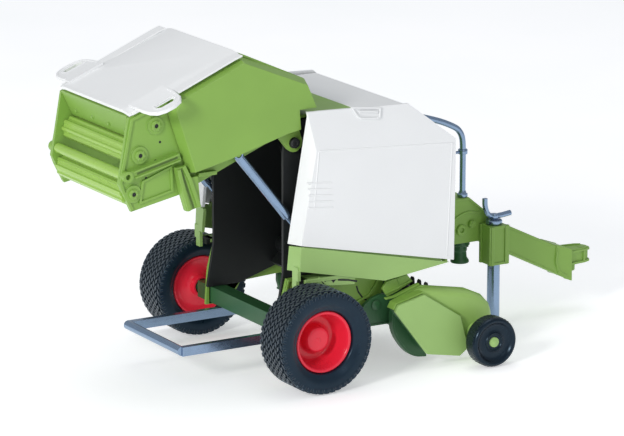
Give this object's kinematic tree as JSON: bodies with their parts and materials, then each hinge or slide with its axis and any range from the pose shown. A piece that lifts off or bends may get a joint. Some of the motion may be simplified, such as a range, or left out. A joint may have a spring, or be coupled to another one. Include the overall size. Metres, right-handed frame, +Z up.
{
  "type": "toy round baler",
  "caption": "Toy fixed-chamber round baler with its tailgate raised, on two wide wheels and a jack, with a pick-up, gauge wheels, drawbar and bale ramp.",
  "frame": {"origin": "on the ground below the middle of the whole toy", "axes": "+X forward to the hitch, +Y to its left, +Z up"},
  "size_m": [0.3468, 0.1748, 0.1959],
  "materials": {
    "green_plastic": "smooth moulded plastic, mid green",
    "light_green_plastic": "smooth moulded plastic, light green",
    "dark_green_plastic": "smooth moulded plastic, dark green",
    "white_plastic": "smooth moulded plastic, white",
    "black_plastic": "matt moulded plastic, black",
    "tyre_rubber": "soft black rubber with a fine block tread",
    "red_plastic": "smooth moulded plastic, red",
    "silver": "bright silver finish"
  },
  "bodies": {
    "frame": {"chamber_wall_left": "black_plastic", "chamber_wall_right": "black_plastic", "front_chamber_liner": "black_plastic", "roof": "white_plastic", "hinge_cover": "green_plastic", "front_panel": "green_plastic", "skirt_left": "light_green_plastic", "skirt_right": "light_green_plastic", "axle": "dark_green_plastic", "chassis_rail_left": "green_plastic", "chassis_rail_right": "green_plastic", "drawbar": "green_plastic", "hitch_tongue": "green_plastic", "drive_stub": "dark_green_plastic", "hose_guide": "silver", "jack_sleeve": "green_plastic"},
    "tailgate": {"tailgate_side_left": "green_plastic", "tailgate_side_right": "green_plastic", "tailgate_cover_left": "green_plastic", "tailgate_cover_right": "green_plastic", "rear_cover": "white_plastic", "tailgate_top": "green_plastic", "tailgate_liner": "green_plastic", "tailgate_cross_bar": "green_plastic", "latch_arm_left": "green_plastic", "latch_arm_right": "green_plastic"},
    "pickup": {"pickup_end_plate_left": "green_plastic", "pickup_end_plate_right": "green_plastic", "pickup_shield_left": "light_green_plastic", "pickup_shield_right": "light_green_plastic", "pickup_pan": "dark_green_plastic"},
    "reel": {"tine_reel": "black_plastic"},
    "jack": {"jack_leg": "silver", "jack_crank": "silver"},
    "ramp": {"bale_ramp": "silver"},
    "roller_1": {"roller_1": "green_plastic"},
    "roller_2": {"roller_2": "green_plastic"},
    "roller_3": {"roller_3": "green_plastic"},
    "door_left": {"side_door_left": "white_plastic"},
    "wheel_left": {"main_tyre_left": "tyre_rubber", "main_rim_left": "red_plastic"},
    "gauge_wheel_left": {"gauge_tyre_left": "tyre_rubber", "gauge_hub_left": "light_green_plastic"},
    "barrel_left": {"lift_barrel_left": "silver"},
    "rod_left": {"lift_rod_left": "silver"},
    "door_right": {"side_door_right": "white_plastic"},
    "wheel_right": {"main_tyre_right": "tyre_rubber", "main_rim_right": "red_plastic"},
    "gauge_wheel_right": {"gauge_tyre_right": "tyre_rubber", "gauge_hub_right": "light_green_plastic"},
    "barrel_right": {"lift_barrel_right": "silver"},
    "rod_right": {"lift_rod_right": "silver"}
  },
  "joints": [
    {"name": "tailgate_hinge", "type": "hinge", "parent": "frame", "child": "tailgate", "pos_m": [-0.06159, 0, 0.1396], "axis": [0, -1, 0], "range_deg": [0, 68]},
    {"name": "pickup_hinge", "type": "hinge", "parent": "frame", "child": "pickup", "pos_m": [-0.00959, 0, 0.0375], "axis": [0, -1, 0], "range_deg": [0, 16]},
    {"name": "reel_spin", "type": "hinge", "parent": "pickup", "child": "reel", "pos_m": [0.02341, 0, 0.032], "axis": [0, 1, 0], "continuous": true},
    {"name": "jack_slide", "type": "slide", "parent": "frame", "child": "jack", "axis": [0, 0, 1], "range_m": [0, 0.034]},
    {"name": "ramp_hinge", "type": "hinge", "parent": "frame", "child": "ramp", "pos_m": [-0.04959, 0, 0.0225], "axis": [0, -1, 0], "range_deg": [0, 13]},
    {"name": "roller_1_spin", "type": "hinge", "parent": "tailgate", "child": "roller_1", "pos_m": [-0.15004, 0, 0.15929], "axis": [0, 1, 0], "continuous": true},
    {"name": "roller_2_spin", "type": "hinge", "parent": "tailgate", "child": "roller_2", "pos_m": [-0.16035, 0, 0.14342], "axis": [0, 1, 0], "continuous": true},
    {"name": "roller_3_spin", "type": "hinge", "parent": "tailgate", "child": "roller_3", "pos_m": [-0.16468, 0, 0.12165], "axis": [0, 1, 0], "continuous": true},
    {"name": "door_left_hinge", "type": "hinge", "parent": "frame", "child": "door_left", "pos_m": [-0.02359, 0.054, 0.158], "axis": [1, 0, 0], "range_deg": [0, 70]},
    {"name": "wheel_left_spin", "type": "hinge", "parent": "frame", "child": "wheel_left", "pos_m": [-0.06359, 0.073, 0.0305], "axis": [0, 1, 0], "continuous": true},
    {"name": "gauge_wheel_left_spin", "type": "hinge", "parent": "pickup", "child": "gauge_wheel_left", "pos_m": [0.05001, 0.0819, 0.015], "axis": [0, 1, 0], "continuous": true},
    {"name": "barrel_left_hinge", "type": "hinge", "parent": "tailgate", "child": "barrel_left", "pos_m": [-0.10006, 0.0463, 0.13792], "axis": [0, -1, 0], "range_deg": [-66.21, 0]},
    {"name": "rod_left_slide", "type": "slide", "parent": "barrel_left", "child": "rod_left", "axis": [0.6268, 0, -0.7792], "range_m": [-0.04301, 0]},
    {"name": "door_right_hinge", "type": "hinge", "parent": "frame", "child": "door_right", "pos_m": [-0.02359, -0.054, 0.158], "axis": [-1, 0, 0], "range_deg": [0, 70]},
    {"name": "wheel_right_spin", "type": "hinge", "parent": "frame", "child": "wheel_right", "pos_m": [-0.06359, -0.073, 0.0305], "axis": [0, 1, 0], "continuous": true},
    {"name": "gauge_wheel_right_spin", "type": "hinge", "parent": "pickup", "child": "gauge_wheel_right", "pos_m": [0.05001, -0.0819, 0.015], "axis": [0, 1, 0], "continuous": true},
    {"name": "barrel_right_hinge", "type": "hinge", "parent": "tailgate", "child": "barrel_right", "pos_m": [-0.10006, -0.0463, 0.13792], "axis": [0, -1, 0], "range_deg": [-66.21, 0]},
    {"name": "rod_right_slide", "type": "slide", "parent": "barrel_right", "child": "rod_right", "axis": [0.6268, 0, -0.7792], "range_m": [-0.04301, 0]}
  ],
  "couplings": [
    {"joint": "barrel_left_hinge", "follows": "tailgate_hinge", "ratio": -0.97347},
    {"joint": "rod_left_slide", "follows": "tailgate_hinge", "m_per_rad": -0.036234},
    {"joint": "barrel_right_hinge", "follows": "tailgate_hinge", "ratio": -0.97347},
    {"joint": "rod_right_slide", "follows": "tailgate_hinge", "m_per_rad": -0.036234}
  ]
}
